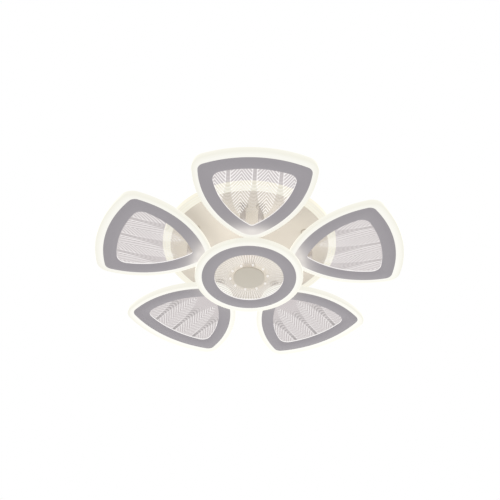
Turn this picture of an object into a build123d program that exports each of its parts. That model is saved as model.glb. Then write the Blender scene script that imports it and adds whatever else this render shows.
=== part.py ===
from build123d import *
import os
from math import atan2, cos, degrees, hypot, radians, sin, sqrt

# Ceiling light with five petal heads round a lower disc head, in millimetres.
# The ceiling is the plane z = 0, the lamp hangs below it, and the origin is the middle of the
# ceiling bracket. Petal 1 points along -Y and the others follow anticlockwise, seen from above.

# Heads: a painted metal trim ring on a thick clear acrylic body, open in the middle from below
# down to an engraved floor, with LED boards in pockets behind the trim
TRIM_T = 1.0
BODY_T = 9.0
RECESS_DEPTH = 2.5
HEAD_T = TRIM_T + BODY_T

# Petal outline, u away from the middle of the lamp and v across
PETAL_COUNT = 5
PETAL_FIRST_ANGLE = -90.0
PETAL_TIP_U = 82.9
PETAL_CORNER_U = 250.4
PETAL_CORNER_V = 96.5
PETAL_END_U = 272.8
PETAL_SIDE_SAGITTA = 26.7
TRIM_SIDE_W = 23.0
TRIM_END_W = 24.8
TRIM_TIP_R = 31.0
TRIM_CORNER_R = 14.0
OPENING_TIP_R = 7.6
OPENING_CORNER_R = 18.3
BORDER_SIDE = 10.5
BORDER_END = 15.0
BODY_CORNER_R = 27.0
BODY_TIP_R = TRIM_TIP_R + BORDER_SIDE

# Disc head
DISC_TRIM_R = 87.4
DISC_TRIM_W = 23.4
DISC_BORDER = 12.9
DISC_R = DISC_TRIM_R + DISC_BORDER

# Heights below the ceiling
BASE_DEPTH = 40.0
PETAL_DROP = 49.1
DISC_DROP = 75.7
FACE_Z = -BASE_DEPTH
PETAL_Z = FACE_Z - PETAL_DROP
DISC_Z = FACE_Z - DISC_DROP

# Base: ceiling bracket, canopy pan, glowing acrylic rim and face plate
FACE_R = 150.0
FACE_T = 1.2
RIM_R = 165.0
RIM_W = 33.0
RIM_H = 12.3
RIM_BOARD_R = 142.0
PAN_SET_BACK = 30.0
PAN_R = RIM_R - PAN_SET_BACK
SHEET_T = 1.2
BRACKET_L = 160.0
BRACKET_W = 28.0
BRACKET_T = 1.5
BRACKET_CHAMFER = 5.0
SLOT_SPACING = 100.0
SLOT_L = 24.0
SLOT_W = 5.5
WINDOW_MARGIN = 5.0
CABLE_HOLE_R = 6.0
CABLE_HOLE_Y = 70.0
PAN_TOP_Z = -BRACKET_T
PAN_FLOOR_Z = PAN_TOP_Z - SHEET_T
RIM_BOTTOM_Z = FACE_Z + FACE_T
RIM_TOP_Z = RIM_BOTTOM_Z + RIM_H

# Standoffs, two near each petal's tip
POST_U = 112.6
POST_V = 16.0
POST_R = 4.4

# Centre: a stud from the bracket clamps pan, face plate, column and disc with the hub cap
COLUMN_R = 12.0
COLUMN_WALL = 1.5
STUD_R = 4.0
STUD_CLEARANCE = 0.25
HUB_R = 28.7
HUB_T = 3.5
HUB_SKIN = 1.2

# LED boards, alike in every ring, with room for their chips
BOARD_L = 46.0
BOARD_W = 8.0
BOARD_T = 1.2
CHIP_ROOM = 1.1
BOARD_GAP = 5.0
BOARD_CORNER_MARGIN = 14.0
BOARDS_PER_SIDE = 2
BOARDS_PER_END = 3
POCKET_CLEARANCE = 0.3
DISC_BOARDS = 8
RIM_BOARDS = 12

# Driver and terminal block, on the face plate inside the base
DRIVER_L = 120.0
DRIVER_W = 42.0
DRIVER_H = 22.0
DRIVER_Y = -78.0
DRIVER_CHAMFER = 3.0
TERMINAL_L = 30.0
TERMINAL_W = 18.0
TERMINAL_H = 14.0
TERMINAL_X = -62.0
TERMINAL_Y = 52.0

UPWARD = (Align.CENTER, Align.CENTER, Align.MIN)
DOWNWARD = (Align.CENTER, Align.CENTER, Align.MAX)


def petal_angle(index):
    return PETAL_FIRST_ANGLE + index * 360.0 / PETAL_COUNT


def side_circle():
    """Centre and radius of the arc along the petal's side with v above zero."""
    du = PETAL_CORNER_U - PETAL_TIP_U
    dv = PETAL_CORNER_V
    chord = hypot(du, dv)
    radius = (chord ** 2 / 4 + PETAL_SIDE_SAGITTA ** 2) / (2 * PETAL_SIDE_SAGITTA)
    back = radius - PETAL_SIDE_SAGITTA
    centre_u = PETAL_TIP_U + du / 2 + back * dv / chord
    centre_v = dv / 2 - back * du / chord
    return centre_u, centre_v, radius


def end_circle():
    """Centre and radius of the arc across the petal's outer end."""
    rise = PETAL_END_U - PETAL_CORNER_U
    radius = (PETAL_CORNER_V ** 2 + rise ** 2) / (2 * rise)
    return PETAL_END_U - radius, radius


def corner_point(side_offset, end_offset):
    """Where the side arc and the end arc meet, both moved outwards."""
    cu, cv, side_r = side_circle()
    eu, end_r = end_circle()
    side_r += side_offset
    end_r += end_offset
    gap = hypot(cu - eu, cv)
    along = (gap ** 2 + end_r ** 2 - side_r ** 2) / (2 * gap)
    across = sqrt(end_r ** 2 - along ** 2)
    du = (cu - eu) / gap
    dv = cv / gap
    return eu + along * du - across * dv, along * dv + across * du


def petal_face(side_offset, end_offset, tip_r, corner_r):
    """Flat outline of three arcs with a rounded tip and two rounded corners."""
    cu, cv, side_r = side_circle()
    eu, end_r = end_circle()
    side_r += side_offset
    end_r += end_offset
    tip_u = cu - sqrt(side_r ** 2 - cv ** 2)
    ku, kv = corner_point(side_offset, end_offset)
    mid_angle = (atan2(-cv, tip_u - cu) + atan2(kv - cv, ku - cu)) / 2
    mid_u = cu + side_r * cos(mid_angle)
    mid_v = cv + side_r * sin(mid_angle)
    side_high = ThreePointArc((ku, kv), (mid_u, mid_v), (tip_u, 0))
    side_low = ThreePointArc((tip_u, 0), (mid_u, -mid_v), (ku, -kv))
    end = ThreePointArc((ku, -kv), (eu + end_r, 0), (ku, kv))
    face = make_face(Curve() + [side_high, side_low, end])
    corners = face.vertices().sort_by(Axis.X)
    face = fillet(corners[1:], corner_r)
    tip = face.vertices().sort_by(Axis.X)[0]
    return fillet(tip, tip_r)


def trim_outline():
    return petal_face(0, 0, TRIM_TIP_R, TRIM_CORNER_R)


def opening_outline():
    return petal_face(-TRIM_SIDE_W, -TRIM_END_W, OPENING_TIP_R, OPENING_CORNER_R)


def body_outline():
    return petal_face(BORDER_SIDE, BORDER_END, BODY_TIP_R, BODY_CORNER_R)


def petal_board_places():
    """Middle and direction of each LED board along the petal's ring."""
    cu, cv, side_r = side_circle()
    eu, end_r = end_circle()
    side_r -= TRIM_SIDE_W / 2
    end_r -= TRIM_END_W / 2
    ku, kv = corner_point(-TRIM_SIDE_W / 2, -TRIM_END_W / 2)
    corner_angle = atan2(kv - cv, ku - cu)
    places = []
    for step in range(BOARDS_PER_SIDE):
        travel = BOARD_CORNER_MARGIN + BOARD_L / 2 + step * (BOARD_L + BOARD_GAP)
        angle = corner_angle + travel / side_r
        u = cu + side_r * cos(angle)
        v = cv + side_r * sin(angle)
        turn = degrees(angle) + 90
        places.append((u, v, turn))
        places.append((u, -v, -turn))
    for step in range(BOARDS_PER_END):
        travel = (step - (BOARDS_PER_END - 1) / 2) * (BOARD_L + BOARD_GAP)
        angle = travel / end_r
        places.append((eu + end_r * cos(angle), end_r * sin(angle), degrees(angle) + 90))
    return places


def round_board_places(count, radius):
    places = []
    for step in range(count):
        angle = (step + 0.5) * 360.0 / count
        places.append((radius * cos(radians(angle)), radius * sin(radians(angle)), angle + 90))
    return places


def led_board():
    return Box(BOARD_L, BOARD_W, BOARD_T, align=UPWARD)


def board_pocket():
    room = 2 * POCKET_CLEARANCE
    return Box(BOARD_L + room, BOARD_W + room, BOARD_T + CHIP_ROOM, align=UPWARD)


def at_places(shape, places, z):
    return [Pos(x, y, z) * Rot(0, 0, turn) * shape for x, y, turn in places]


def petal_trim():
    return extrude(trim_outline() - opening_outline(), TRIM_T)


def petal_body():
    """The acrylic body with its recess and board pockets open to the trim's side."""
    body = extrude(body_outline(), BODY_T) - extrude(opening_outline(), RECESS_DEPTH)
    return Pos(0, 0, TRIM_T) * (body - at_places(board_pocket(), petal_board_places(), 0))


def standoff():
    height = PETAL_DROP - HEAD_T
    return Pos(0, 0, HEAD_T) * Cylinder(POST_R, height, align=UPWARD)


def ring(outer_r, inner_r, height):
    return extrude(Circle(outer_r) - Circle(inner_r), height)


def stud_hole(height):
    return Cylinder(STUD_R + STUD_CLEARANCE, height, align=UPWARD)


def disc_body():
    """Round sister of the petal's body, with a hole for the stud in its floor."""
    body = Cylinder(DISC_R, BODY_T, align=UPWARD)
    body -= Cylinder(DISC_TRIM_R - DISC_TRIM_W, RECESS_DEPTH, align=UPWARD)
    body -= at_places(board_pocket(), disc_board_places(), 0)
    return Pos(0, 0, TRIM_T) * (body - stud_hole(BODY_T))


def disc_board_places():
    return round_board_places(DISC_BOARDS, DISC_TRIM_R - DISC_TRIM_W / 2)


def hub_cap():
    """A round cap under the disc's floor, with a blind hole for the stud."""
    cap = Cylinder(HUB_R, HUB_T, align=DOWNWARD)
    return cap - Cylinder(STUD_R, HUB_T - HUB_SKIN, align=DOWNWARD)


def rim_diffuser():
    """The acrylic ring of the base, with board pockets open to the face plate."""
    body = ring(RIM_R, RIM_R - RIM_W, RIM_H)
    return body - at_places(board_pocket(), round_board_places(RIM_BOARDS, RIM_BOARD_R), 0)


def canopy_pan():
    """A round pan, open below, with windows under the bracket's slots and a cable hole."""
    pan = Cylinder(PAN_R, PAN_TOP_Z - RIM_TOP_Z, align=DOWNWARD)
    hollow = Cylinder(PAN_R - SHEET_T, PAN_TOP_Z - RIM_TOP_Z, align=DOWNWARD)
    pan = Pos(0, 0, PAN_TOP_Z) * pan - Pos(0, 0, PAN_FLOOR_Z) * hollow
    window = Box(SLOT_L + 2 * WINDOW_MARGIN, SLOT_W + 2 * WINDOW_MARGIN, SHEET_T, align=UPWARD)
    for side in (-1, 1):
        pan -= Pos(side * SLOT_SPACING / 2, 0, PAN_FLOOR_Z) * window
    pan -= Pos(0, 0, PAN_FLOOR_Z) * stud_hole(SHEET_T)
    return pan - Pos(0, CABLE_HOLE_Y, PAN_FLOOR_Z) * Cylinder(CABLE_HOLE_R, SHEET_T, align=UPWARD)


def ceiling_bracket():
    strip = Box(BRACKET_L, BRACKET_W, BRACKET_T, align=DOWNWARD)
    strip = chamfer(strip.edges().filter_by(Axis.Z), BRACKET_CHAMFER)
    slot = extrude(SlotOverall(SLOT_L, SLOT_W), -BRACKET_T)
    for side in (-1, 1):
        strip -= Pos(side * SLOT_SPACING / 2, 0, 0) * slot
    return strip


def driver():
    box = Box(DRIVER_L, DRIVER_W, DRIVER_H, align=UPWARD)
    return chamfer(box.edges().filter_by(Axis.Z), DRIVER_CHAMFER)


def save(name, *solids):
    shape = solids[0] if len(solids) == 1 else Compound(children=list(solids))
    export_step(shape, os.path.join("parts", name + ".step"))


def place_solids(place, *shapes):
    return [(place * shape).solid() for shape in shapes]


def save_petals():
    """The five heads: their trims, bodies and posts each in one node, their boards one by one."""
    trim = petal_trim()
    body = petal_body()
    boards = at_places(led_board(), petal_board_places(), TRIM_T)
    sides = [Pos(POST_U, side * POST_V, 0) * standoff() for side in (-1, 1)]
    trims, bodies, posts = [], [], []
    for index in range(PETAL_COUNT):
        place = Pos(0, 0, PETAL_Z) * Rot(0, 0, petal_angle(index))
        trims += place_solids(place, trim)
        bodies += place_solids(place, body)
        posts += place_solids(place, *sides)
        save(f"petal_{index + 1}_led_boards", *place_solids(place, *boards))
    save("petal_trim_rings", *trims)
    save("petal_acrylic_bodies", *bodies)
    save("petal_standoffs", *posts)


def save_disc():
    place = Pos(0, 0, DISC_Z)
    boards = at_places(led_board(), disc_board_places(), TRIM_T)
    save("disc_trim_ring", *place_solids(place, ring(DISC_TRIM_R, DISC_TRIM_R - DISC_TRIM_W, TRIM_T)))
    save("disc_acrylic_body", *place_solids(place, disc_body()))
    save("disc_led_boards", *place_solids(place, *boards))


def save_centre():
    floor_z = DISC_Z + TRIM_T + RECESS_DEPTH
    stud = Cylinder(STUD_R, PAN_TOP_Z - floor_z + HUB_T - HUB_SKIN, align=DOWNWARD)
    column = ring(COLUMN_R, COLUMN_R - COLUMN_WALL, DISC_DROP - HEAD_T)
    save("hub_cap", *place_solids(Pos(0, 0, floor_z), hub_cap()))
    save("centre_stud", *place_solids(Pos(0, 0, PAN_TOP_Z), stud))
    save("centre_column", *place_solids(Pos(0, 0, DISC_Z + HEAD_T), column))


def save_base():
    plate = Cylinder(FACE_R, FACE_T, align=UPWARD) - stud_hole(FACE_T)
    boards = at_places(led_board(), round_board_places(RIM_BOARDS, RIM_BOARD_R), 0)
    terminal = Pos(TERMINAL_X, TERMINAL_Y, 0) * Box(TERMINAL_L, TERMINAL_W, TERMINAL_H, align=UPWARD)
    inside = Pos(0, 0, RIM_BOTTOM_Z)
    save("face_plate", *place_solids(Pos(0, 0, FACE_Z), plate))
    save("rim_diffuser", *place_solids(inside, rim_diffuser()))
    save("rim_led_boards", *place_solids(inside, *boards))
    save("canopy_pan", canopy_pan().solid())
    save("ceiling_bracket", ceiling_bracket().solid())
    save("led_driver", *place_solids(inside, Pos(0, DRIVER_Y, 0) * driver()))
    save("terminal_block", *place_solids(inside, terminal))


os.makedirs("parts", exist_ok=True)
save_petals()
save_disc()
save_centre()
save_base()
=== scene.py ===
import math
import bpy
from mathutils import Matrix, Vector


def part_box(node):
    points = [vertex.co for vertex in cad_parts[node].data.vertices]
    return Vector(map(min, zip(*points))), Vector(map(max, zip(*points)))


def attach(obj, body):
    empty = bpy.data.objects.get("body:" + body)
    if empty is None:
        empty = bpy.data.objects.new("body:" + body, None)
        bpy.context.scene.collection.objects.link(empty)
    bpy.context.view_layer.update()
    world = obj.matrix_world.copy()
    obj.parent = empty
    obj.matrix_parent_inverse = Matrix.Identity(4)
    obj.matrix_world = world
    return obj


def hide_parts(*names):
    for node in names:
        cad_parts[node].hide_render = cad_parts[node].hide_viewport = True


bl_info = {
    "name": "Petal ceiling light",
    "version": (1, 0, 0),
    "blender": (4, 5, 0),
    "location": "View3D > Sidebar > Light",
    "description": "Builds the heads, standoffs, base and stage of a petal ceiling light",
    "category": "Object",
}

import bmesh
import bpy
import numpy as np
from bpy.props import FloatProperty, FloatVectorProperty, IntProperty
from mathutils import Matrix, Vector

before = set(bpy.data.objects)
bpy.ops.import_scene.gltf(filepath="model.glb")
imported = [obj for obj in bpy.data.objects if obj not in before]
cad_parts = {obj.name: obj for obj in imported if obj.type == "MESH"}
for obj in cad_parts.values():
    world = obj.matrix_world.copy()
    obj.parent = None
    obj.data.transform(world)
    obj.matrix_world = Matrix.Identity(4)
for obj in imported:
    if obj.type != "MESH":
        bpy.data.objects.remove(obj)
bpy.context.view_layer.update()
MM = 0.001

# Heights and radii of the pieces, read from the frame
PETAL_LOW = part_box("petal_trim_rings")[0].z
TRIM_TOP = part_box("petal_trim_rings")[1].z
PETAL_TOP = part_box("petal_acrylic_bodies")[1].z
DISC_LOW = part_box("disc_trim_ring")[0].z
DISC_TRIM_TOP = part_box("disc_trim_ring")[1].z
DISC_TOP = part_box("disc_acrylic_body")[1].z
DISC_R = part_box("disc_acrylic_body")[1].x
DISC_TRIM_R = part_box("disc_trim_ring")[1].x
FACE_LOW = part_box("face_plate")[0].z
FACE_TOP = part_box("face_plate")[1].z
FACE_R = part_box("face_plate")[1].x
RIM_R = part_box("rim_diffuser")[1].x
RIM_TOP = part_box("rim_diffuser")[1].z
HUB_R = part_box("hub_cap")[1].x
HUB_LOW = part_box("hub_cap")[0].z
HUB_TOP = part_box("hub_cap")[1].z

# Petal outline, u away from the middle of the lamp and v across: two side circles, an end circle,
# and fillets at the tip and both corners
PETALS = 5
FIRST_ANGLE = math.radians(-90.0)
TIP_U = 82.9 * MM
CORNER_U = 250.4 * MM
CORNER_V = 96.5 * MM
END_U = 272.8 * MM
SIDE_SAGITTA = 26.7 * MM

# Loops of a petal: offset of the sides, offset of the end, radius at the tip, radius at the corners
TRIM = (0.0, 0.0, 31.0 * MM, 14.0 * MM)
OPENING = (-23.0 * MM, -24.8 * MM, 7.6 * MM, 18.3 * MM)
BODY = (10.5 * MM, 15.0 * MM, 41.5 * MM, 27.0 * MM)

# Points on the tip's fillet, the side, the corner's fillet and half of the end
COARSE_COUNTS = (14, 56, 20, 44)
FINE_COUNTS = (60, 200, 80, 160)

# Recess of the heads, whose depth is the hub cap's top over the top of the disc's trim, the width of
# that trim, and how far an engraved plate reaches into the ring round it
RECESS = HUB_TOP - DISC_TRIM_TOP
DISC_TRIM_W = 23.4 * MM
SEAT = 0.3 * MM

# Section of an acrylic ring, as shares of the way from its outside to its opening. Above, it stops
# at one share and slopes down to the opening, and the clear plate widens by the run to meet it.
SLOPE_SHARE = 0.7
SLOPE_RUN = 9.5 * MM
TOP_SHARE = 0.3
LOWER_SHARES = (0.12, 0.24, 0.6, 0.99, 1)
EDGE_CUT = 0.3

# 'glow' of an acrylic ring: the share of the section over the reach, up to the core's value, and
# on over the recess's wall from the trim to the floor. A tone between edge and core has its own.
GLOW_REACH = 0.6
GLOW_BETWEEN = 0.3
GLOW_CORE = 0.5
GLOW_WALL = (0.7, 0.8, 1.0)

# Hub, and the bright beads round it, as domes from the plate down to the hub's lower face
HUB_ROUND = 0.6 * MM
HUB_POINTS = 96
BEADS = 10
BEAD_CIRCLE_R = 34.6 * MM
BEAD_PHASE = math.radians(-8.6)
BEAD_R = 2.3 * MM
BEAD_FIRST_ANGLE = 0.2
BEAD_STEPS = 8
BEAD_POINTS = 20
BEAD_LIGHT = (0.85, 0.82, 0.78)

# Standoffs: a tapered shaft with a boss and a flange's edge against the face plate, the edge painted darker
# as painted shade round the flange
POST_U = 112.6 * MM
POST_V = 16.0 * MM
POST_R = 4.4 * MM
POST_NECK_R = POST_R - 0.6 * MM
POST_FOOT_R = POST_R + 0.9 * MM
POST_NECK_H = 6.0 * MM
POST_FOOT_H = 14.0 * MM
POST_ROUND = 3.0 * MM
POST_POINTS = 48
FLANGE_RING_W = 1.6 * MM
FLANGE_RING_H = 0.9 * MM
FLANGE_RING_ROUND = 0.3 * MM
BOSS_H = 1.8 * MM
BOSS_ROUND = 0.5 * MM

# Base: the rim's lower face has fine rings from near its edge to just inside the face plate's edge
RIM_W = 33.0 * MM
RIM_ROUND = 2.5 * MM
RIM_ROUND_STEPS = 5
RIM_FACE_START = RIM_R - 3.0 * MM
RIM_FACE_END = FACE_R - 1.0 * MM
RIM_FACE_STEP = 0.5 * MM
RIM_RING_PITCH = 5.0 * MM
FACE_ROUND = 0.5 * MM
LARGE_TURN_POINTS = 192

# Ribs and hatching of a petal's floor
RIB_PITCH = 45.0 * MM
RIB_HALF = 3.4 * MM
RIB_SPREAD = 4.4 * MM
RIB_SPREAD_U = 175.0 * MM
RIB_SPREAD_LENGTH = 27.3 * MM
RIB_EDGE = 0.5 * MM
FLANK_HALF = 0.9 * MM
HATCH_SLOPE = 1.75
HATCH_BEND = 7.0 * MM
HATCH_SLANT = 0.62
HATCH_PITCH = 8.3 * MM
HATCH_POWER = 1.5

# Stretches of u over which a part of the engraving sets in
HATCH_START = (140.0 * MM, 152.0 * MM)
BAR_START = (148.0 * MM, 176.0 * MM)
FLANK_START = (158.0 * MM, 170.0 * MM)
FLANK_RISE = (180.0 * MM, 225.0 * MM)
OUTER_RISE = (180.0 * MM, 205.0 * MM)
THIN_RISE = (205.0 * MM, 240.0 * MM)

# Strengths of the engraving, from 0 to 1
CLEAR_LIGHT = 0.02
HATCH_LIGHT = 0.98
HATCH_LIGHT_LOSS = 0.08
HATCH_SHADE = 0.5
HATCH_SHADE_LOSS = 0.1
FLANK_LIGHT = 0.85
FLANK_LEAST = 0.1
BAR_LIGHT = 0.35
BAR_SHADE = 0.8
BAR_SHADE_LOSS = 0.8
RIB_SHADE = 0.08
THIN_SHADE = 0.72

# Painted shade and painted dimming by a petal's direction: the factor of the dark engraving in a near petal
# and the painted shade a far one adds to it, the painted dimming that a far and a side petal take off the
# bright engraving, and the sines of its direction over which these set in
NEAR_PAINTED_SHADE = 0.5
FAR_PAINTED_SHADE = 0.6
FAR_PAINTED_DIMMING = 0.21
SIDE_PAINTED_DIMMING = 0.16
FAR_SINE = 0.8
SIDE_SINE = 0.6

# Fan of the disc's floor: lines from the hub outwards, crossed by rings that bow in each sector
FAN_LINES = 76
FAN_START = (27.0 * MM, 43.0 * MM)
FAN_LIGHT = 0.75
FAN_SHADE = 0.7
FAN_POWER = 2
FAN_RING_BOW = 60.0 * MM
FAN_RING_PITCH = 4.2 * MM
FAN_RING_LIGHT = 0.12
FAN_ROWS = 110
FAN_POINTS = 600

# Relief of an engraved floor, as shares of its depth: bright lines are cut in, dark ones stand out
BRIGHT_CUT = 0.6
DARK_RISE = 0.4

# Light of the disc's border on the petals' trims
SPILL_LENGTH = 13.0 * MM
SPILL_COLOUR = (0.43, 0.41, 0.37)

# Edges sharper than this stay sharp in a smooth mesh, and points closer than this are one point
SHARP_ANGLE = math.radians(40.0)
WELD_DISTANCE = 1e-7

# Acrylic: its refraction, and the dark body colour under its own light
ACRYLIC_IOR = 1.49
LIT_BODY = (0.02, 0.02, 0.02, 1.0)

# Light of the rim between its rings, on them and round its other faces, and on the centre column
RIM_EDGE_LIGHT = (0.87, 0.85, 0.75)
RIM_CORE_LIGHT = (0.86, 0.82, 0.68)
RIM_WALL_LIGHT = (0.87, 0.84, 0.72)
COLUMN_LIGHT = (0.1, 0.09, 0.08, 1.0)

# Stage: area lamps as name, place in metres, power in watts and width in metres
LAMPS = (
    ("key", (-1.3, -1.6, -1.7), 22.0, 1.4),
    ("fill", (1.8, -0.6, -1.5), 12.0, 1.6),
    ("back", (0.2, 1.9, -0.9), 8.0, 1.4),
)
LAMP_TARGET = Vector((0.0, 0.0, -0.08))
GLOW_LAMP_WIDTH = 0.3
GLOW_LAMP_POWER = 0.11
GLOW_LAMP_DROP = 3.0 * MM
ROOM_WHITE = (1.0, 1.0, 1.0, 1.0)
ROOM_THROUGH_ACRYLIC = (0.63, 0.585, 0.588, 1.0)
ROOM_STRENGTH = 0.72
FLOOR_HALF = 6.0
FLOOR_Z = -2.4
CAMERA_PLACE = (-0.04074, -1.24577, -1.19432)
CAMERA_YAW = 0.0337
CAMERA_PITCH = 0.74522
CAMERA_ROLL = 0.01289
CAMERA_LENS = 64.162
CAMERA_SENSOR = 36.0


# Geometry


def petal_angle(index):
    """Direction of a petal: the first angle plus its share of a full turn."""
    return FIRST_ANGLE + index * 2 * math.pi / PETALS


def turned_about_z(points, angle):
    """Points turned about the vertical axis: x cos - y sin, x sin + y cos."""
    c, s = math.cos(angle), math.sin(angle)
    x, y = points[..., 0], points[..., 1]
    return np.stack([x * c - y * s, x * s + y * c, points[..., 2]], axis=-1)


def arc(centre, radius, start, end, count):
    """Points on a circle from one angle to another, the last one left out."""
    angle = start + (end - start) * np.arange(count) / count
    return np.stack([centre[0] + radius * np.cos(angle), centre[1] + radius * np.sin(angle)], axis=-1)


def petal_loop(side_offset, end_offset, tip_r, corner_r, counts=COARSE_COUNTS):
    """Closed outline of a petal, anticlockwise from its tip. Its upper half is the tip's fillet, the
    side circle, the corner's fillet and the end circle, each met where the line through two centres
    leaves it. The lower half is its mirror image in v."""
    du, dv = CORNER_U - TIP_U, CORNER_V
    chord = math.hypot(du, dv)
    radius = (chord ** 2 / 4 + SIDE_SAGITTA ** 2) / (2 * SIDE_SAGITTA)
    back = radius - SIDE_SAGITTA
    side_centre = (TIP_U + du / 2 + back * dv / chord, dv / 2 - back * du / chord)
    rise = END_U - CORNER_U
    end_r = (CORNER_V ** 2 + rise ** 2) / (2 * rise)
    end_centre = (END_U - end_r, 0.0)
    side_r = radius + side_offset
    end_r += end_offset

    # The tip's centre lies on the axis, and the corner's where its distances to both centres fit
    cu, cv = side_centre
    eu = end_centre[0]
    tip_u = cu - math.sqrt((side_r - tip_r) ** 2 - cv ** 2)
    inner_side, inner_end = side_r - corner_r, end_r - corner_r
    gap = math.hypot(cu - eu, cv)
    along = (gap ** 2 + inner_end ** 2 - inner_side ** 2) / (2 * gap)
    across = math.sqrt(inner_end ** 2 - along ** 2)
    gu, gv = (cu - eu) / gap, cv / gap
    ku, kv = eu + along * gu - across * gv, along * gv + across * gu

    tip_join = math.atan2(-cv, tip_u - cu) % (2 * math.pi)
    side_join = math.atan2(kv - cv, ku - cu)
    end_join = math.atan2(kv, ku - eu)
    n_tip, n_side, n_corner, n_end = counts
    half = np.concatenate([
        arc((tip_u, 0.0), tip_r, math.pi, tip_join, n_tip),
        arc(side_centre, side_r, tip_join, side_join, n_side),
        arc((ku, kv), corner_r, side_join, end_join, n_corner),
        arc(end_centre, end_r, end_join, 0.0, n_end),
        [[eu + end_r, 0.0]],
    ])
    mirror = half[-2:0:-1] * (1.0, -1.0)
    return np.concatenate([half, mirror])[::-1]


def round_loop(radius, count=LARGE_TURN_POINTS):
    """A circle about the lamp's axis."""
    angle = 2 * math.pi * np.arange(count) / count
    return np.stack([radius * np.cos(angle), radius * np.sin(angle)], axis=-1)


def loop_normals(loop):
    """Outward unit normals of a closed anticlockwise loop: its tangent turned clockwise."""
    tangent = np.roll(loop, -1, axis=0) - np.roll(loop, 1, axis=0)
    tangent /= np.linalg.norm(tangent, axis=1, keepdims=True)
    return np.stack([tangent[:, 1], -tangent[:, 0]], axis=-1)


def grid_faces(rows, columns, close_rows, close_columns):
    """Quads between neighbouring rows and columns of a grid of points."""
    r = np.arange(rows if close_rows else rows - 1)[:, None]
    c = np.arange(columns if close_columns else columns - 1)[None, :]
    r2, c2 = (r + 1) % rows, (c + 1) % columns
    quads = [r * columns + c, r * columns + c2, r2 * columns + c2, r2 * columns + c]
    shape = np.broadcast(r, c).shape
    return np.stack([np.broadcast_to(q, shape) for q in quads], axis=-1).reshape(-1, 4)


def swept(outer, inner, profile):
    """A closed ring. Each profile point is (share, offset, z): the loop lies at that share of the
    way from the outer outline to the inner one, then moved outwards by the offset."""
    n_out, n_in = loop_normals(outer), loop_normals(inner)
    rows = []
    for share, offset, z in profile:
        loop = outer * (1 - share) + inner * share
        normal = n_out * (1 - share) + n_in * share
        rows.append(np.column_stack([loop + offset * normal, np.full(len(loop), z)]))
    return np.stack(rows)


def turned(profile, count):
    """A profile of (radius, z) points carried round the vertical axis."""
    profile = np.array(profile, float)
    angle = 2 * math.pi * np.arange(count) / count
    x = profile[:, :1] * np.cos(angle)
    y = profile[:, :1] * np.sin(angle)
    return np.stack([x, y, np.broadcast_to(profile[:, 1:], x.shape)], axis=-1)


def rounded(points, radius, steps=3):
    """A profile with each corner between its ends cut back by the radius and bent on a quadratic
    curve: (1-t)^2 a + 2t(1-t) corner + t^2 b."""
    points = [np.array(p, float) for p in points]
    out = [points[0]]
    for before, corner, after in zip(points, points[1:], points[2:]):
        to_a, to_b = before - corner, after - corner
        reach_a = min(radius, np.linalg.norm(to_a) / 2)
        reach_b = min(radius, np.linalg.norm(to_b) / 2)
        a = corner + to_a / np.linalg.norm(to_a) * reach_a
        b = corner + to_b / np.linalg.norm(to_b) * reach_b
        for t in np.linspace(0, 1, steps + 1):
            out.append((1 - t) ** 2 * a + 2 * t * (1 - t) * corner + t * t * b)
    out.append(points[-1])
    return np.array(out)


def block(inner, outer, low, high):
    """Profile of a rectangle of radii and heights, from its upper inner corner and back to it."""
    return [(inner, high), (outer, high), (outer, low), (inner, low), (inner, high)]


def signed_volume(points, faces):
    """Volume by the divergence theorem: a sixth of a . (b x c) over the triangles."""
    first = points[faces[:, 0]]
    total = 0.0
    for k in range(1, faces.shape[1] - 1):
        product = np.cross(points[faces[:, k]], points[faces[:, k + 1]])
        total += np.einsum("ij,ij->i", first, product).sum()
    return total / 6


def grids_to_mesh(name, grids, layers):
    """One smooth mesh from grids of (points, close_rows, close_columns), each facing outwards, with
    a float attribute for each layer of values."""
    all_points, all_faces, start = [], [], 0
    for points, close_rows, close_columns in grids:
        rows, columns = points.shape[:2]
        flat = points.reshape(-1, 3)
        faces = grid_faces(rows, columns, close_rows, close_columns)
        if signed_volume(flat, faces) < 0:
            faces = faces[:, ::-1]
        all_points.append(flat)
        all_faces.append(faces + start)
        start += len(flat)
    mesh = bpy.data.meshes.new(name)
    mesh.from_pydata(np.concatenate(all_points).tolist(), [], np.concatenate(all_faces).tolist())
    for layer, values in layers.items():
        attribute = mesh.attributes.new(layer, "FLOAT", "POINT")
        attribute.data.foreach_set("value", np.asarray(values, np.float32).ravel())
    soft = bmesh.new()
    soft.from_mesh(mesh)
    bmesh.ops.remove_doubles(soft, verts=soft.verts, dist=WELD_DISTANCE)
    for face in soft.faces:
        face.smooth = True
    soft.to_mesh(mesh)
    soft.free()
    mesh.set_sharp_from_angle(angle=SHARP_ANGLE)
    return mesh


def make_piece(name, grids, material, replaced=(), layers=None):
    """A piece of the lamp that rides on its one body, and takes the place of the given nodes."""
    mesh = grids_to_mesh(name, grids, layers or {})
    piece = bpy.data.objects.new(name, mesh)
    bpy.context.scene.collection.objects.link(piece)
    mesh.materials.append(material)
    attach(piece, "root")
    if replaced:
        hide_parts(*replaced)


# Engraving


def wave(distance, pitch):
    """Height from 0 to 1 of a row of ridges at the given pitch."""
    return 0.5 + 0.5 * np.cos(2 * math.pi * distance / pitch)


def step(low, high, value):
    """Smooth change from 0 at low to 1 at high: 3t^2 - 2t^3."""
    t = np.clip((value - low) / (high - low), 0, 1)
    return t * t * (3 - 2 * t)


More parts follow.
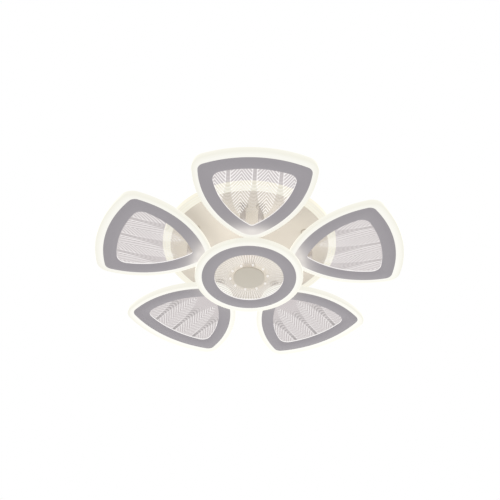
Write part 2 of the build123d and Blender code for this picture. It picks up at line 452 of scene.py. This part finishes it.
def petal_engraving(u, v):
    """Bright and dark strength of a petal's floor. Ribs lie along u at each multiple of the rib
    pitch, and their half width grows as half + spread exp((spread_u - u) / length) towards the tip.
    All lines follow u = c + slope (sqrt(s^2 + bend^2) - bend), with s the distance from the rib:
    they are dark cross bars inside it, and bright hatching in the leaves between two ribs. A bright
    line runs along each flank of a rib, and the bars merge at its thin end."""
    from_rib = np.abs(v - np.round(v / RIB_PITCH) * RIB_PITCH)
    half = RIB_HALF + RIB_SPREAD * np.exp((RIB_SPREAD_U - u) / RIB_SPREAD_LENGTH)
    along = u - HATCH_SLOPE * (np.sqrt(from_rib ** 2 + HATCH_BEND ** 2) - HATCH_BEND)
    leaf = step(-RIB_EDGE, RIB_EDGE, from_rib - half)
    rib = 1 - leaf
    ridge = wave(along, HATCH_PITCH)
    within = step(*HATCH_START, u + HATCH_SLANT * from_rib)
    outer = step(*OUTER_RISE, u)
    thin = step(*THIN_RISE, u)
    flank = np.exp(-((from_rib - half) / FLANK_HALF) ** 2) * step(*FLANK_START, u)
    flank *= FLANK_LEAST + (1 - FLANK_LEAST) * step(*FLANK_RISE, u)

    hatch = CLEAR_LIGHT + (HATCH_LIGHT - HATCH_LIGHT_LOSS * outer) * ridge ** HATCH_POWER
    bars = BAR_LIGHT * ridge * (1 - thin)
    bright = within * (leaf * (1 - flank) * hatch + rib * bars) + FLANK_LIGHT * flank

    troughs = (HATCH_SHADE - HATCH_SHADE_LOSS * outer) * (1 - ridge) ** HATCH_POWER
    shade = RIB_SHADE + THIN_SHADE * thin + BAR_SHADE * (1 - BAR_SHADE_LOSS * thin) * (1 - ridge)
    dark = (1 - flank) * (rib * step(*BAR_START, u) * shade + leaf * within * troughs)
    return np.clip(bright, 0, 1), np.clip(dark, 0, 1)


def petal_painted_shade(angle):
    """Factors for the dark and the bright engraving of a petal, from the sine of its direction. They are
    painted shade and painted dimming: the far petals get darker ribs, and they and the side petals get
    dimmer hatching."""
    away = step(0, FAR_SINE, math.sin(angle))
    sideways = step(0, SIDE_SINE, 1 - abs(math.sin(angle)))
    return NEAR_PAINTED_SHADE + FAR_PAINTED_SHADE * away, 1 - FAR_PAINTED_DIMMING * away - SIDE_PAINTED_DIMMING * sideways


def disc_engraving(x, y):
    """Bright and dark strength of the disc's floor: fine lines fan out from the hub, crossed by
    rings whose radius is c + bow times the angle to the nearest bead. All fade in from the hub."""
    radius = np.hypot(x, y)
    angle = np.arctan2(y, x) - BEAD_PHASE
    sector = 2 * math.pi / BEADS
    in_sector = np.abs((angle + sector / 2) % sector - sector / 2)
    lines = wave(angle * FAN_LINES / (2 * math.pi), 1.0)
    rings = wave(radius - FAN_RING_BOW * in_sector, FAN_RING_PITCH)
    fade = step(*FAN_START, radius)
    bright = (CLEAR_LIGHT + FAN_LIGHT * lines ** FAN_POWER + FAN_RING_LIGHT * rings) * fade
    return bright, FAN_SHADE * (1 - lines) ** FAN_POWER * fade


def engraved_height(low, relief, bright, dark):
    """Height of an engraved lower face: bright lines are cut down to low, and dark ones stand up."""
    return low + relief * (DARK_RISE * dark - BRIGHT_CUT * bright + BRIGHT_CUT)


# Materials


def feed(tree, value, socket):
    """Links another node's output to a socket, or sets the socket to a plain value."""
    if isinstance(value, bpy.types.NodeSocket):
        tree.links.new(value, socket)
    else:
        socket.default_value = value


def maths(tree, operation, *values):
    """Output of a maths node, whose inputs are outputs of other nodes or plain numbers."""
    node = tree.nodes.new("ShaderNodeMath")
    node.operation = operation
    for value, socket in zip(values, node.inputs):
        feed(tree, value, socket)
    return node.outputs[0]


def scaled(tree, colour, factor):
    """A colour times a factor."""
    node = tree.nodes.new("ShaderNodeVectorMath")
    node.operation = "SCALE"
    feed(tree, colour, node.inputs[0])
    feed(tree, factor, node.inputs["Scale"])
    return node.outputs["Vector"]


def noise(tree, place, scale):
    """Noise from 0 to 1 over a place."""
    node = tree.nodes.new("ShaderNodeTexNoise")
    feed(tree, place, node.inputs["Vector"])
    feed(tree, scale, node.inputs["Scale"])
    return node.outputs["Fac"]


def finish_group():
    """Shared grain of every painted, moulded or plated surface: colour, roughness and normal."""
    tree = bpy.data.node_groups.new("surface_finish", "ShaderNodeTree")
    entries = (
        ("Colour", "NodeSocketColor", (0.8, 0.8, 0.8, 1)),
        ("Variation", "NodeSocketFloat", 0.04),
        ("Roughness", "NodeSocketFloat", 0.4),
        ("Grain Scale", "NodeSocketFloat", 900.0),
        ("Grain Depth", "NodeSocketFloat", 0.1),
    )
    exits = (
        ("Colour", "NodeSocketColor"),
        ("Roughness", "NodeSocketFloat"),
        ("Normal", "NodeSocketVector"),
    )
    for label, kind, default in entries:
        socket = tree.interface.new_socket(label, in_out="INPUT", socket_type=kind)
        socket.default_value = default
    for label, kind in exits:
        tree.interface.new_socket(label, in_out="OUTPUT", socket_type=kind)
    inside = tree.nodes.new("NodeGroupInput").outputs
    outside = tree.nodes.new("NodeGroupOutput").inputs
    place = tree.nodes.new("ShaderNodeTexCoord").outputs["Object"]
    broad_scale, roughness_variation, grain_height = 14.0, 0.15, 0.0001
    centred = maths(tree, "SUBTRACT", noise(tree, place, broad_scale), 0.5)
    amount = maths(tree, "MULTIPLY_ADD", centred, inside["Variation"], 1.0)
    feed(tree, scaled(tree, inside["Colour"], amount), outside["Colour"])
    rough = maths(tree, "MULTIPLY_ADD", centred, roughness_variation, inside["Roughness"])
    feed(tree, rough, outside["Roughness"])
    bump = tree.nodes.new("ShaderNodeBump")
    bump.inputs["Distance"].default_value = grain_height
    feed(tree, noise(tree, place, inside["Grain Scale"]), bump.inputs["Height"])
    feed(tree, inside["Grain Depth"], bump.inputs["Strength"])
    feed(tree, bump.outputs["Normal"], outside["Normal"])
    return tree


FINISH = finish_group()


def finished(name, colour, roughness, metallic=0.0, grain=900.0, depth=0.1, variation=0.04):
    """A material whose colour, roughness and normal come from the shared finish, with its node tree,
    shader and finish group."""
    material = bpy.data.materials.new(name)
    material.use_nodes = True
    tree = material.node_tree
    shader = tree.nodes["Principled BSDF"]
    group = tree.nodes.new("ShaderNodeGroup")
    group.node_tree = FINISH
    group.inputs["Colour"].default_value = (*colour, 1)
    group.inputs["Roughness"].default_value = roughness
    group.inputs["Grain Scale"].default_value = grain
    group.inputs["Grain Depth"].default_value = depth
    group.inputs["Variation"].default_value = variation
    feed(tree, group.outputs["Colour"], shader.inputs["Base Color"])
    feed(tree, group.outputs["Roughness"], shader.inputs["Roughness"])
    feed(tree, group.outputs["Normal"], shader.inputs["Normal"])
    shader.inputs["Metallic"].default_value = metallic
    return material, tree, shader, group


def coated(name, colour, roughness, **finish):
    """A material with nothing but the shared finish."""
    return finished(name, colour, roughness, **finish)[0]


def attribute_ramp(tree, layer, stops):
    """Colour of a ramp of (position, colour) stops over a vertex attribute of the piece."""
    reader = tree.nodes.new("ShaderNodeAttribute")
    reader.attribute_name = layer
    ramp = tree.nodes.new("ShaderNodeValToRGB")
    first, last = ramp.color_ramp.elements
    first.position, first.color = stops[0][0], (*stops[0][1], 1)
    last.position, last.color = stops[-1][0], (*stops[-1][1], 1)
    for position, colour in stops[1:-1]:
        element = ramp.color_ramp.elements.new(position)
        element.color = (*colour, 1)
    feed(tree, reader.outputs["Fac"], ramp.inputs["Fac"])
    return ramp.outputs["Color"]


def emit(tree, shader, colour):
    """Makes a shader glow in a plain colour or another node's output."""
    feed(tree, colour, shader.inputs["Emission Color"])
    shader.inputs["Emission Strength"].default_value = 1.0


def paint_material(name, colour):
    """Grey satin paint, with the light of the disc's border spilling on it where 'spill' is high."""
    material, tree, shader, _ = finished(name, colour, roughness=0.42, grain=700.0, depth=0.08)
    emit(tree, shader, attribute_ramp(tree, "spill", ((0.0, (0, 0, 0)), (1.0, SPILL_COLOUR))))
    return material


def glow_material(name, edge, core, wall, foot):
    """Edge-lit acrylic. 'glow' runs from 0 at the outer edge to its core value at the trim, and on
    over the recess's wall to 1 at the floor."""
    material, tree, shader, _ = finished(
        name, core, roughness=0.22, grain=300.0, depth=0.03, variation=0.02)
    between = tuple((a + b) / 2 for a, b in zip(edge, core))
    positions = (0.0, GLOW_BETWEEN, GLOW_CORE, GLOW_WALL[0], GLOW_WALL[-1])
    stops = tuple(zip(positions, (edge, between, core, wall, foot)))
    emit(tree, shader, attribute_ramp(tree, "glow", stops))
    for link in list(shader.inputs["Base Color"].links):
        tree.links.remove(link)
    shader.inputs["Base Color"].default_value = LIT_BODY
    shader.inputs["IOR"].default_value = ACRYLIC_IOR
    return material


def engraved_material(name, plain, clear_cover):
    """Clear acrylic floor: see-through, milky where 'bright' is high and dull where 'dark' is."""
    material, tree, shader, group = finished(
        name, plain, roughness=0.18, grain=260.0, depth=0.03, variation=0.03)
    bright_cover, dark_cover, dark_share, brightness = 0.62, 0.45, 0.2, 0.8
    black_to_white = ((0.0, (0, 0, 0)), (1.0, (1, 1, 1)))
    bright = attribute_ramp(tree, "bright", black_to_white)
    dark = attribute_ramp(tree, "dark", black_to_white)
    dull = tuple(dark_share * c for c in plain)
    feed(tree, attribute_ramp(tree, "dark", ((0.0, plain), (1.0, dull))), group.inputs["Colour"])
    cover = maths(tree, "MULTIPLY_ADD", bright, bright_cover, clear_cover)
    cover = maths(tree, "MULTIPLY_ADD", dark, dark_cover, cover)
    feed(tree, cover, shader.inputs["Alpha"])
    emit(tree, shader, scaled(tree, bright, brightness))
    shader.inputs["IOR"].default_value = ACRYLIC_IOR
    return material


def satin_material(name, colour):
    """Beige satin paint of the face plate, the bosses and the hub."""
    return coated(name, colour, roughness=0.4, grain=800.0, depth=0.08)


def column_material(name):
    """Beige paint with a little of the boards' light on it."""
    material, tree, shader, _ = finished(name, (0.74, 0.69, 0.62), roughness=0.45)
    emit(tree, shader, COLUMN_LIGHT)
    return material


# Settings


class LightSizes(bpy.types.PropertyGroup):
    trim_bevel: FloatProperty(
        name="Trim bevel", description="Rounding of the trim's edges", unit="LENGTH", default=0.0004)
    acrylic_round: FloatProperty(
        name="Acrylic round", description="Rounding of the acrylic's edges", unit="LENGTH", default=0.0012)
    relief: FloatProperty(
        name="Engraving depth", description="Depth of the engraved lines", unit="LENGTH", default=0.00025)
    flange_r: FloatProperty(
        name="Standoff flange", description="Radius of a standoff's flange", unit="LENGTH", default=0.0084)
    floor_rows: IntProperty(
        name="Floor rows", description="Rows of points along a petal's engraved floor", default=280)
    floor_columns: IntProperty(
        name="Floor columns", description="Points across each row of a petal's engraved floor", default=240)


class LightColours(bpy.types.PropertyGroup):
    paint: FloatVectorProperty(
        name="Trim paint", description="Colour of the trims", subtype="COLOR",
        default=(0.318, 0.3, 0.322))
    glow_core: FloatVectorProperty(
        name="Glow", description="Light beside the boards", subtype="COLOR",
        default=(0.92, 0.91, 0.86))
    glow_edge: FloatVectorProperty(
        name="Glow edge", description="Light at the outer edge", subtype="COLOR",
        default=(0.855, 0.84, 0.75))
    wall: FloatVectorProperty(
        name="Wall", description="Light of a recess's wall at the trim", subtype="COLOR",
        default=(0.96, 0.94, 0.93))
    foot: FloatVectorProperty(
        name="Wall's foot", description="Light of a recess's wall at the floor", subtype="COLOR",
        default=(0.8, 0.77, 0.76))
    acrylic: FloatVectorProperty(
        name="Clear acrylic", description="Tint of the engraved floors", subtype="COLOR",
        default=(0.6, 0.575, 0.56))
    sheet: FloatVectorProperty(
        name="Base sheet", description="Paint of the face plate and the bosses", subtype="COLOR",
        default=(0.68, 0.63, 0.55))
    hub: FloatVectorProperty(
        name="Hub", description="Paint of the hub", subtype="COLOR",
        default=(0.545, 0.505, 0.43))
    post: FloatVectorProperty(
        name="Standoffs", description="Colour of the standoffs", subtype="COLOR",
        default=(0.56, 0.52, 0.48))
    acrylic_alpha: FloatProperty(
        name="Acrylic cover", description="How much the plain floor hides", subtype="FACTOR",
        default=0.035)


def sizes():
    return bpy.context.scene.light_sizes


def colours():
    return bpy.context.scene.light_colours


def made(name, maker, *values):
    """A material made once under its name and then shared."""
    return bpy.data.materials.get(name) or maker(name, *values)


def paint():
    return made("grey_satin_paint", paint_material, tuple(colours().paint))


def glow():
    tones = colours()
    lights = [tuple(tone) for tone in (tones.glow_edge, tones.glow_core, tones.wall, tones.foot)]
    return made("edge_lit_acrylic", glow_material, *lights)


def sheet():
    return made("beige_satin_paint", satin_material, tuple(colours().sheet))


def engraved():
    tones = colours()
    return made("engraved_acrylic", engraved_material, tuple(tones.acrylic), tones.acrylic_alpha)


# Heads


def spill(points):
    """Light of the disc's border on the petals' trims: exp(-distance / length) from the disc."""
    radius = np.hypot(points[..., 0], points[..., 1])
    return np.exp(-np.clip(radius - DISC_R, 0, 1) / SPILL_LENGTH)


def trim_grid(outer, inner, low, high, bevel):
    """The trim's section: flat, with both lower edges rounded."""
    cut = EDGE_CUT * bevel
    profile = [
        (0, 0, high), (0, 0, low + bevel), (0, -cut, low + cut), (0, -bevel, low), (0.5, 0, low),
        (1, bevel, low), (1, cut, low + cut), (1, 0, low + bevel), (1, 0, high),
    ]
    return swept(outer, inner, profile)


def body_grid(outer, inner, low, floor_low, high, radius):
    """The acrylic's ring section with rounded outer edges, and its 'glow'. Its upper inner corner
    slopes away under the clear plate, so that no bright wall shows through the plate."""
    cut = EDGE_CUT * radius
    profile = [
        (SLOPE_SHARE, 0, high), (TOP_SHARE, 0, high),
        (0, -radius, high), (0, -cut, high - cut), (0, 0, high - radius),
        (0, 0, low + radius), (0, -cut, low + cut), (0, -radius, low),
        *[(share, 0, low) for share in LOWER_SHARES],
        (1, 0, (low + floor_low) / 2), (1, 0, floor_low),
    ]
    value = np.clip([share / GLOW_REACH for share, offset, z in profile], 0, GLOW_CORE)
    value[-len(GLOW_WALL):] = GLOW_WALL
    grid = swept(outer, inner, profile)
    return grid, np.broadcast_to(value[:, None], grid.shape[:2])


def leaf_plate(loop, low, high, size, tone):
    """A closed plate inside a petal's outline. Each row is a loop across it at one u: out over the
    engraved lower face, from -w(u) to w(u), and back over the flat upper face, which is wider by the
    slope's run. The rows shrink to a point at both ends."""
    columns = size.floor_columns
    # The tone holds the petal's painted shade for the dark engraving and its painted dimming of the bright
    # engraving
    depth, painted_light_share = tone
    upper = loop[loop[:, 1] >= 0]
    upper = upper[np.argsort(upper[:, 0])]
    u = np.linspace(upper[0, 0], upper[-1, 0], size.floor_rows)[:, None]
    width = np.interp(u, upper[:, 0], upper[:, 1])
    width[[0, -1]] = 0
    share = np.concatenate([np.linspace(-1, 1, columns), [1.0, 0.0, -1.0]])
    v = width * share
    below = np.broadcast_to(np.arange(len(share)) < columns, v.shape)
    bright, dark = petal_engraving(u, v)
    bright, dark = painted_light_share * bright * below, depth * dark * below
    z = np.where(below, engraved_height(low, size.relief, bright, dark), high)
    middle, half = (u[0, 0] + u[-1, 0]) / 2, (u[-1, 0] - u[0, 0]) / 2
    wide_u = np.where(below, u, middle + (u - middle) * (half + SLOPE_RUN) / half)
    wide_v = np.where(below, v, v * (1 + SLOPE_RUN / width.max()))
    return np.stack([wide_u, wide_v, z], axis=-1), bright, dark


def round_plate(radius, low, high, size):
    """A closed round plate: circles of points grow from its middle over the engraved lower face, and
    three more close it over the flat upper face, which is wider by the slope's run."""
    share = np.concatenate([np.linspace(0, 1, FAN_ROWS), [1 + SLOPE_RUN / radius, 0.5, 0.0]])[:, None]
    plane = round_loop(radius, FAN_POINTS) * share[..., None]
    bright, dark = disc_engraving(plane[..., 0], plane[..., 1])
    below = np.broadcast_to((np.arange(len(share)) < FAN_ROWS)[:, None], bright.shape)
    bright, dark = bright * below, dark * below
    z = np.where(below, engraved_height(low, size.relief, bright, dark), high)
    return np.dstack([plane, z]), bright, dark


class LIGHT_OT_petals(bpy.types.Operator):
    """Builds the five petal heads: trim, lit ring and engraved floor"""

    bl_idname = "light.petals"
    bl_label = "Petal heads"

    def execute(self, context):
        size = sizes()
        floor_low = TRIM_TOP + RECESS
        outer, opening, body = petal_loop(*TRIM), petal_loop(*OPENING), petal_loop(*BODY)
        trim = trim_grid(outer, opening, PETAL_LOW, TRIM_TOP, size.trim_bevel)
        ring, value = body_grid(body, opening, TRIM_TOP, floor_low, PETAL_TOP, size.acrylic_round)
        side, end, tip_r, corner_r = OPENING
        seat = petal_loop(side + SEAT, end + SEAT, tip_r, corner_r, FINE_COUNTS)
        for index in range(PETALS):
            angle = petal_angle(index)
            name = f"petal_{index + 1}_"
            grid = turned_about_z(trim, angle)
            make_piece(name + "trim", [(grid, True, True)], paint(),
                       ["petal_trim_rings"], {"spill": spill(grid)})
            grid = turned_about_z(ring, angle)
            make_piece(name + "lit_ring", [(grid, True, True)], glow(),
                       ["petal_acrylic_bodies"], {"glow": value})
            plate, bright, dark = leaf_plate(seat, floor_low, PETAL_TOP - SEAT / 4, size, petal_painted_shade(angle))
            grid = turned_about_z(plate, angle)
            make_piece(name + "engraved_floor", [(grid, False, True)], engraved(),
                       ["petal_acrylic_bodies"], {"bright": bright, "dark": dark})
        return {"FINISHED"}


class LIGHT_OT_disc(bpy.types.Operator):
    """Builds the disc head with its trim, lit ring, engraved floor, hub and beads"""

    bl_idname = "light.disc"
    bl_label = "Disc head"

    def execute(self, context):
        size = sizes()
        floor_low = DISC_TRIM_TOP + RECESS
        opening_r = DISC_TRIM_R - DISC_TRIM_W
        opening = round_loop(opening_r)
        trim = trim_grid(round_loop(DISC_TRIM_R), opening, DISC_LOW, DISC_TRIM_TOP, size.trim_bevel)
        make_piece("disc_trim", [(trim, True, True)], paint(),
                   ["disc_trim_ring"], {"spill": np.zeros(trim.shape[:2])})
        ring, value = body_grid(
            round_loop(DISC_R), opening, DISC_TRIM_TOP, floor_low, DISC_TOP, size.acrylic_round)
        make_piece("disc_lit_ring", [(ring, True, True)], glow(),
                   ["disc_acrylic_body"], {"glow": value})
        plate, bright, dark = round_plate(opening_r + SEAT, floor_low, DISC_TOP - SEAT / 4, size)
        make_piece("disc_engraved_floor", [(plate, False, True)], engraved(),
                   ["disc_acrylic_body"], {"bright": bright, "dark": dark})
        cap = rounded([(0, HUB_LOW), (HUB_R, HUB_LOW), (HUB_R, HUB_TOP), (0, HUB_TOP)], HUB_ROUND)
        hub = satin_material("hub_satin_paint", tuple(colours().hub))
        grid = turned(cap, HUB_POINTS)
        make_piece("hub_cap_dressed", [(grid, False, True)], hub, ["hub_cap"])
        self.beads(floor_low)
        return {"FINISHED"}

    def beads(self, floor_low):
        """Domes as one piece: radius r sin a, and height rise cos a below the floor."""
        rise = floor_low - HUB_LOW
        dome = [(0, HUB_LOW)]
        for a in np.linspace(BEAD_FIRST_ANGLE, math.pi / 2, BEAD_STEPS):
            dome.append((BEAD_R * math.sin(a), floor_low - rise * math.cos(a)))
        bead = turned([*dome, (0, floor_low)], BEAD_POINTS)
        grids = []
        for a in BEAD_PHASE + 2 * math.pi * np.arange(BEADS) / BEADS:
            place = np.array([BEAD_CIRCLE_R * math.cos(a), BEAD_CIRCLE_R * math.sin(a), 0])
            grids.append((bead + place, False, True))
        light = glow_material("bead_acrylic", BEAD_LIGHT, BEAD_LIGHT, BEAD_LIGHT, BEAD_LIGHT)
        make_piece("hub_beads", grids, light)


class LIGHT_OT_standoffs(bpy.types.Operator):
    """Builds the turned standoffs between the base and the petals, with their flanges"""

    bl_idname = "light.standoffs"
    bl_label = "Standoffs"

    def execute(self, context):
        low, high, flange_r = PETAL_TOP, FACE_LOW, sizes().flange_r
        boss_r = flange_r - FLANGE_RING_W
        shaft = rounded([
            (0, high), (POST_NECK_R, high), (POST_NECK_R, high - POST_NECK_H),
            (POST_FOOT_R, low + POST_FOOT_H), (POST_FOOT_R, low), (0, low)], POST_ROUND)
        edge = rounded(block(boss_r, flange_r, high - FLANGE_RING_H, high), FLANGE_RING_ROUND)
        boss = rounded(block(POST_NECK_R, boss_r, high - BOSS_H, high), BOSS_ROUND)
        post = tuple(colours().post)
        metal = coated("standoff_metal", post, roughness=0.4, metallic=0.15, grain=500.0)
        # The flange's edge is painted darker than the beige sheet: painted shade round the flange
        painted_shade_ring = coated("beige_ring_painted_shade", (0.47, 0.43, 0.36), roughness=0.5)
        self.copies("standoffs", shaft, False, metal, "post_metal", ["petal_standoffs"])
        self.copies("standoff_edges_painted_shade", edge, True, painted_shade_ring, "post_metal")
        self.copies("standoff_bosses", boss, True, sheet(), "beige_sheet")
        return {"FINISHED"}

    def copies(self, name, profile, closed_section, material, slot, replaced=()):
        """A turned form at each of the ten places, as one piece."""
        form = turned(profile, POST_POINTS)
        grids = []
        for index in range(PETALS):
            for side in (-1, 1):
                place = np.array([POST_U, side * POST_V, 0.0])
                grids.append((turned_about_z(form + place, petal_angle(index)), closed_section, True))
        make_piece(name, grids, material, replaced)


class LIGHT_OT_base(bpy.types.Operator):
    """Builds the face plate and the glowing rim, and finishes the other nodes of the lamp"""

    bl_idname = "light.base"
    bl_label = "Base"

    def execute(self, context):
        plate = rounded([(0, FACE_LOW), (FACE_R, FACE_LOW), (FACE_R, FACE_TOP), (0, FACE_TOP)], FACE_ROUND)
        grid = turned(plate, LARGE_TURN_POINTS)
        make_piece("face_plate_dressed", [(grid, False, True)], sheet(), ["face_plate"])
        self.rim()
        for name, material in self.looks().items():
            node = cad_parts[name]
            node.data.materials.clear()
            node.data.materials.append(material)
        return {"FINISHED"}

    def rim(self):
        """The acrylic rim, whose 'glow' goes up and down over its lower face as fine rings."""
        inner = RIM_R - RIM_W
        face = [(r, FACE_TOP) for r in np.arange(RIM_FACE_START, RIM_FACE_END, -RIM_FACE_STEP)]
        section = rounded([
            (inner, (FACE_TOP + RIM_TOP) / 2), (inner, RIM_TOP), (RIM_R, RIM_TOP), (RIM_R, FACE_TOP),
            face[0]], RIM_ROUND, RIM_ROUND_STEPS)
        ring = turned([*section, *face[1:], (inner, FACE_TOP)], LARGE_TURN_POINTS)
        from_edge = RIM_R - np.hypot(ring[..., 0], ring[..., 1])
        light = glow_material(
            "lit_rim", RIM_EDGE_LIGHT, RIM_CORE_LIGHT, RIM_WALL_LIGHT, RIM_WALL_LIGHT)
        make_piece("rim_dressed", [(ring, True, True)], light,
                   ["rim_diffuser"], {"glow": GLOW_CORE * wave(from_edge, RIM_RING_PITCH)})

    def looks(self):
        """Materials of the nodes that are shown as they are."""
        zinc = coated("zinc_plate", (0.6, 0.6, 0.58), roughness=0.35, metallic=0.9, variation=0.15)
        board = coated("white_solder_mask", (0.82, 0.82, 0.78), roughness=0.3)
        materials = {name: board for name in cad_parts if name.endswith("_led_boards")}
        materials.update({
            "canopy_pan": coated("white_satin_paint", (0.78, 0.77, 0.73), roughness=0.45),
            "ceiling_bracket": zinc,
            "centre_stud": zinc,
            "centre_column": column_material("column_paint"),
            "led_driver": coated("driver_plastic", (0.8, 0.8, 0.77), roughness=0.5, depth=0.25),
            "terminal_block": coated("terminal_polyamide", (0.8, 0.8, 0.72), roughness=0.35),
        })
        return materials


# Stage


def white_room():
    """A world that is white to the camera, to gloss and to transmission, a little greyer behind
    clear acrylic, and weaker as the light that falls on the lamp."""
    world = bpy.data.worlds.new("white_room")
    world.use_nodes = True
    tree = world.node_tree
    background = tree.nodes["Background"]
    path = tree.nodes.new("ShaderNodeLightPath").outputs
    seen = maths(tree, "MAXIMUM", path["Is Camera Ray"], path["Is Transmission Ray"])
    seen = maths(tree, "MAXIMUM", seen, path["Is Glossy Ray"])
    tint = tree.nodes.new("ShaderNodeMix")
    tint.data_type = "RGBA"
    tint.inputs["A"].default_value = ROOM_WHITE
    tint.inputs["B"].default_value = ROOM_THROUGH_ACRYLIC
    feed(tree, maths(tree, "MINIMUM", path["Transparent Depth"], 1.0), tint.inputs["Factor"])
    feed(tree, tint.outputs["Result"], background.inputs["Color"])
    level = tree.nodes.new("ShaderNodeMapRange")
    level.inputs["To Min"].default_value = ROOM_STRENGTH
    level.inputs["To Max"].default_value = 1.0
    feed(tree, seen, level.inputs["Value"])
    feed(tree, level.outputs["Result"], background.inputs["Strength"])
    return world


def area_lamp(name, power, width):
    """A square area lamp at the origin."""
    lamp = bpy.data.lights.new(name, "AREA")
    lamp.energy = power
    lamp.size = width
    holder = bpy.data.objects.new(name, lamp)
    bpy.context.scene.collection.objects.link(holder)
    return holder


def add_lamps():
    """Three soft lamps from below, and the heads' own light on the base behind them."""
    for name, place, power, width in LAMPS:
        holder = area_lamp(name, power, width)
        holder.location = place
        holder.rotation_mode = "QUATERNION"
        holder.rotation_quaternion = (LAMP_TARGET - Vector(place)).to_track_quat("-Z", "Y")
    behind = area_lamp("back_glow", GLOW_LAMP_POWER, GLOW_LAMP_WIDTH)
    behind.data.shape = "DISK"
    upward = Matrix.Rotation(math.pi, 4, "X")
    behind.matrix_world = Matrix.Translation((0, 0, PETAL_TOP - GLOW_LAMP_DROP)) @ upward
    behind.visible_camera = False
    behind.visible_glossy = False


def add_floor():
    """A pale square floor below the lamp."""
    mesh = bpy.data.meshes.new("floor")
    corner_signs = ((-1, -1), (1, -1), (1, 1), (-1, 1))
    corners = [(x * FLOOR_HALF, y * FLOOR_HALF, FLOOR_Z) for x, y in corner_signs]
    mesh.from_pydata(corners, [], [(0, 1, 2, 3)])
    floor = bpy.data.objects.new("floor", mesh)
    bpy.context.scene.collection.objects.link(floor)
    mesh.materials.append(coated("pale_floor", (0.86, 0.86, 0.85), roughness=0.7, variation=0.01))


def add_camera():
    """A camera below the lamp that looks up along (sin yaw cos pitch, cos yaw cos pitch, sin pitch),
    with its right and up turned about that line by the roll."""
    level = math.cos(CAMERA_PITCH)
    forward = Vector((
        math.sin(CAMERA_YAW) * level, math.cos(CAMERA_YAW) * level, math.sin(CAMERA_PITCH)))
    flat_right = Vector((math.cos(CAMERA_YAW), -math.sin(CAMERA_YAW), 0.0))
    flat_up = flat_right.cross(forward)
    right = flat_right * math.cos(CAMERA_ROLL) + flat_up * math.sin(CAMERA_ROLL)
    up = flat_up * math.cos(CAMERA_ROLL) - flat_right * math.sin(CAMERA_ROLL)
    data = bpy.data.cameras.new("camera")
    data.lens = CAMERA_LENS
    data.sensor_width = CAMERA_SENSOR
    camera = bpy.data.objects.new("camera", data)
    camera.matrix_world = Matrix((right, up, -forward)).transposed().to_4x4()
    camera.location = CAMERA_PLACE
    bpy.context.scene.collection.objects.link(camera)
    bpy.context.scene.camera = camera


class LIGHT_OT_stage(bpy.types.Operator):
    """Makes the pale floor, the soft lights, the white background and the camera"""

    bl_idname = "light.stage"
    bl_label = "Stage"

    def execute(self, context):
        context.scene.view_settings.view_transform = "Standard"
        context.scene.world = white_room()
        add_lamps()
        add_floor()
        add_camera()
        return {"FINISHED"}


class LIGHT_PT_panel(bpy.types.Panel):
    """Lists the light's sizes, colours and building steps"""

    bl_idname = "LIGHT_PT_panel"
    bl_label = "Petal ceiling light"
    bl_space_type = "VIEW_3D"
    bl_region_type = "UI"
    bl_category = "Light"

    def draw(self, context):
        for group in (context.scene.light_sizes, context.scene.light_colours):
            for name in group.__annotations__:
                self.layout.prop(group, name)
        for operator in OPERATORS:
            self.layout.operator(operator.bl_idname)


OPERATORS = (LIGHT_OT_petals, LIGHT_OT_disc, LIGHT_OT_standoffs, LIGHT_OT_base, LIGHT_OT_stage)
CLASSES = (LightSizes, LightColours, *OPERATORS, LIGHT_PT_panel)


def register():
    for one in CLASSES:
        bpy.utils.register_class(one)
    bpy.types.Scene.light_sizes = bpy.props.PointerProperty(type=LightSizes)
    bpy.types.Scene.light_colours = bpy.props.PointerProperty(type=LightColours)


def unregister():
    del bpy.types.Scene.light_colours
    del bpy.types.Scene.light_sizes
    for one in reversed(CLASSES):
        bpy.utils.unregister_class(one)


def main():
    register()
    bpy.ops.light.petals()
    bpy.ops.light.disc()
    bpy.ops.light.standoffs()
    bpy.ops.light.base()
    bpy.ops.light.stage()


if __name__ == "__main__":
    main()
